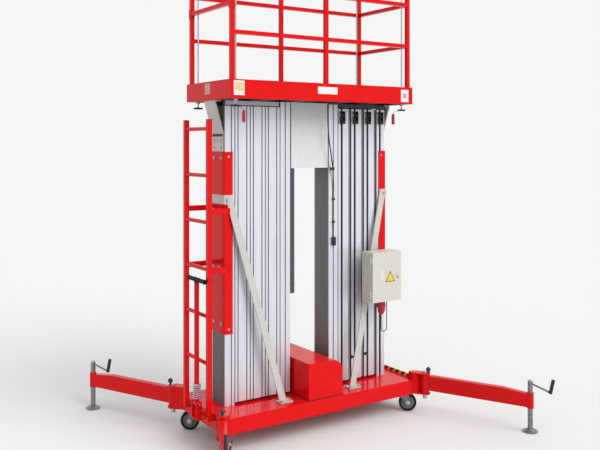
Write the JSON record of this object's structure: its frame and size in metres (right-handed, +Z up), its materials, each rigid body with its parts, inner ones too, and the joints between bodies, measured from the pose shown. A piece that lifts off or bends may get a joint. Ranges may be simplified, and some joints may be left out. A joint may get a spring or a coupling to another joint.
{
  "type": "vertical mast lift",
  "caption": "Push-around vertical lift: guarded work platform on twin telescoping masts, tray chassis on swivel casters, swing-out outriggers with screw jacks.",
  "frame": {"origin": "on the floor under the middle of the machine, halfway between the two masts", "axes": "+Z up; +X along the chassis towards the mast that carries the control box; -Y the side the control box faces"},
  "size_m": [2.2674, 2.2854, 3.3105],
  "materials": {
    "red_paint": "gloss",
    "cream_paint": "satin",
    "mast_aluminium": "satin",
    "chain_steel": "satin",
    "zinc_steel": "satin",
    "black_plastic": "gloss",
    "dark_paint": "matte",
    "yellow_plastic": "matte",
    "cable_rubber": "matte",
    "wheel_rubber": "matte"
  },
  "bodies": {
    "chassis": {"chassis": "red_paint", "corner_posts": "red_paint", "tow_bracket": "red_paint", "hinge_pins": "zinc_steel", "lock_knobs": "black_plastic", "power_unit": "dark_paint", "power_unit_cover": "red_paint", "mast_right_1": "mast_aluminium", "mast_left_1": "mast_aluminium", "chain_right_1": "chain_steel", "chain_left_1": "chain_steel", "mast_channels": "red_paint", "mast_stays": "cream_paint", "deck_rests": "cream_paint", "control_box": "cream_paint", "ladder_rails": "red_paint", "ladder_rungs": "red_paint"},
    "left_stage_2": {"mast_left_2": "mast_aluminium", "chain_left_2": "chain_steel"},
    "left_stage_3": {"mast_left_3": "mast_aluminium", "chain_left_3": "chain_steel"},
    "left_stage_4": {"mast_left_4": "mast_aluminium", "chain_left_4": "chain_steel"},
    "platform": {"mast_left_5": "mast_aluminium", "deck_band": "red_paint", "deck_floor": "dark_paint", "guard_posts": "red_paint", "guard_rails": "red_paint", "lock_rods": "zinc_steel", "carriage_cover": "cream_paint", "carriage_track": "dark_paint", "platform_controls": "yellow_plastic"},
    "right_stage_2": {"mast_right_2": "mast_aluminium", "chain_right_2": "chain_steel"},
    "right_stage_3": {"mast_right_3": "mast_aluminium", "chain_right_3": "chain_steel"},
    "right_stage_4": {"mast_right_4": "mast_aluminium", "chain_right_4": "chain_steel"},
    "right_stage_5": {"mast_right_5": "mast_aluminium", "control_cable": "cable_rubber"},
    "entrance_bar": {"entrance_bar": "red_paint"},
    "control_box_door": {"control_box_door": "cream_paint"},
    "tow_handle": {"tow_handle": "red_paint"},
    "outrigger_fl": {"outrigger_arm_fl": "red_paint"},
    "jack_fl": {"jack_fl": "zinc_steel"},
    "caster_fork_fl": {"caster_fork_fl": "zinc_steel"},
    "caster_wheel_fl": {"caster_wheel_fl": "wheel_rubber"},
    "outrigger_fr": {"outrigger_arm_fr": "red_paint"},
    "jack_fr": {"jack_fr": "zinc_steel"},
    "caster_fork_fr": {"caster_fork_fr": "zinc_steel"},
    "caster_wheel_fr": {"caster_wheel_fr": "wheel_rubber"},
    "outrigger_bl": {"outrigger_arm_bl": "red_paint"},
    "jack_bl": {"jack_bl": "zinc_steel"},
    "caster_fork_bl": {"caster_fork_bl": "zinc_steel"},
    "caster_wheel_bl": {"caster_wheel_bl": "wheel_rubber"},
    "outrigger_br": {"outrigger_arm_br": "red_paint"},
    "jack_br": {"jack_br": "zinc_steel"},
    "caster_fork_br": {"caster_fork_br": "zinc_steel"},
    "caster_wheel_br": {"caster_wheel_br": "wheel_rubber"}
  },
  "joints": [
    {"name": "mast_lift", "type": "slide", "parent": "chassis", "child": "left_stage_2", "axis": [0, 0, 1], "range_m": [0, 1.45]},
    {"name": "left_lift_3", "type": "slide", "parent": "left_stage_2", "child": "left_stage_3", "axis": [0, 0, 1], "range_m": [0, 1.45]},
    {"name": "left_lift_4", "type": "slide", "parent": "left_stage_3", "child": "left_stage_4", "axis": [0, 0, 1], "range_m": [0, 1.45]},
    {"name": "platform_lift", "type": "slide", "parent": "left_stage_4", "child": "platform", "axis": [0, 0, 1], "range_m": [0, 1.45]},
    {"name": "right_lift_2", "type": "slide", "parent": "chassis", "child": "right_stage_2", "axis": [0, 0, 1], "range_m": [0, 1.45]},
    {"name": "right_lift_3", "type": "slide", "parent": "right_stage_2", "child": "right_stage_3", "axis": [0, 0, 1], "range_m": [0, 1.45]},
    {"name": "right_lift_4", "type": "slide", "parent": "right_stage_3", "child": "right_stage_4", "axis": [0, 0, 1], "range_m": [0, 1.45]},
    {"name": "right_lift_5", "type": "slide", "parent": "right_stage_4", "child": "right_stage_5", "axis": [0, 0, 1], "range_m": [0, 1.45]},
    {"name": "outrigger_swing_fl", "type": "hinge", "parent": "chassis", "child": "outrigger_fl", "pos_m": [-0.775, -0.34, 0.2], "axis": [0, 0, 1], "range_deg": [0, 116]},
    {"name": "jack_screw_fl", "type": "slide", "parent": "outrigger_fl", "child": "jack_fl", "axis": [0, 0, 1], "range_m": [-0.01, 0.1]},
    {"name": "caster_swivel_fl", "type": "hinge", "parent": "chassis", "child": "caster_fork_fl", "pos_m": [-0.665, -0.218, 0.15], "axis": [0, 0, 1], "continuous": true},
    {"name": "caster_roll_fl", "type": "hinge", "parent": "caster_fork_fl", "child": "caster_wheel_fl", "pos_m": [-0.70082, -0.24355, 0.06], "axis": [-0.5807, 0.8141, 0], "continuous": true},
    {"name": "outrigger_swing_fr", "type": "hinge", "parent": "chassis", "child": "outrigger_fr", "pos_m": [0.775, -0.34, 0.2], "axis": [0, 0, -1], "range_deg": [0, 116]},
    {"name": "jack_screw_fr", "type": "slide", "parent": "outrigger_fr", "child": "jack_fr", "axis": [0, 0, 1], "range_m": [-0.01, 0.1]},
    {"name": "caster_swivel_fr", "type": "hinge", "parent": "chassis", "child": "caster_fork_fr", "pos_m": [0.665, -0.218, 0.15], "axis": [0, 0, 1], "continuous": true},
    {"name": "caster_roll_fr", "type": "hinge", "parent": "caster_fork_fr", "child": "caster_wheel_fr", "pos_m": [0.70082, -0.24355, 0.06], "axis": [0.5807, 0.8141, 0], "continuous": true},
    {"name": "outrigger_swing_bl", "type": "hinge", "parent": "chassis", "child": "outrigger_bl", "pos_m": [-0.775, 0.34, 0.2], "axis": [0, 0, -1], "range_deg": [0, 116]},
    {"name": "jack_screw_bl", "type": "slide", "parent": "outrigger_bl", "child": "jack_bl", "axis": [0, 0, 1], "range_m": [-0.01, 0.1]},
    {"name": "caster_swivel_bl", "type": "hinge", "parent": "chassis", "child": "caster_fork_bl", "pos_m": [-0.665, 0.218, 0.15], "axis": [0, 0, 1], "continuous": true},
    {"name": "caster_roll_bl", "type": "hinge", "parent": "caster_fork_bl", "child": "caster_wheel_bl", "pos_m": [-0.70082, 0.24355, 0.06], "axis": [0.5807, 0.8141, 0], "continuous": true},
    {"name": "outrigger_swing_br", "type": "hinge", "parent": "chassis", "child": "outrigger_br", "pos_m": [0.775, 0.34, 0.2], "axis": [0, 0, 1], "range_deg": [0, 116]},
    {"name": "jack_screw_br", "type": "slide", "parent": "outrigger_br", "child": "jack_br", "axis": [0, 0, 1], "range_m": [-0.01, 0.1]},
    {"name": "caster_swivel_br", "type": "hinge", "parent": "chassis", "child": "caster_fork_br", "pos_m": [0.665, 0.218, 0.15], "axis": [0, 0, 1], "continuous": true},
    {"name": "caster_roll_br", "type": "hinge", "parent": "caster_fork_br", "child": "caster_wheel_br", "pos_m": [0.70082, 0.24355, 0.06], "axis": [-0.5807, 0.8141, 0], "continuous": true},
    {"name": "control_box_door_hinge", "type": "hinge", "parent": "chassis", "child": "control_box_door", "pos_m": [0.3685, -0.259, 0.939], "axis": [0, 0, -1], "range_deg": [0, 110]},
    {"name": "entrance_bar_slide", "type": "slide", "parent": "platform", "child": "entrance_bar", "axis": [0, 0, 1], "range_m": [0, 0.35]},
    {"name": "tow_handle_hinge", "type": "hinge", "parent": "chassis", "child": "tow_handle", "pos_m": [-0.802, -0.061, 0.27], "axis": [0, -1, 0], "range_deg": [0, 85]}
  ],
  "couplings": [
    {"joint": "left_lift_3", "follows": "mast_lift", "ratio": 1},
    {"joint": "left_lift_4", "follows": "mast_lift", "ratio": 1},
    {"joint": "platform_lift", "follows": "mast_lift", "ratio": 1},
    {"joint": "right_lift_2", "follows": "mast_lift", "ratio": 1},
    {"joint": "right_lift_3", "follows": "mast_lift", "ratio": 1},
    {"joint": "right_lift_4", "follows": "mast_lift", "ratio": 1},
    {"joint": "right_lift_5", "follows": "mast_lift", "ratio": 1}
  ]
}
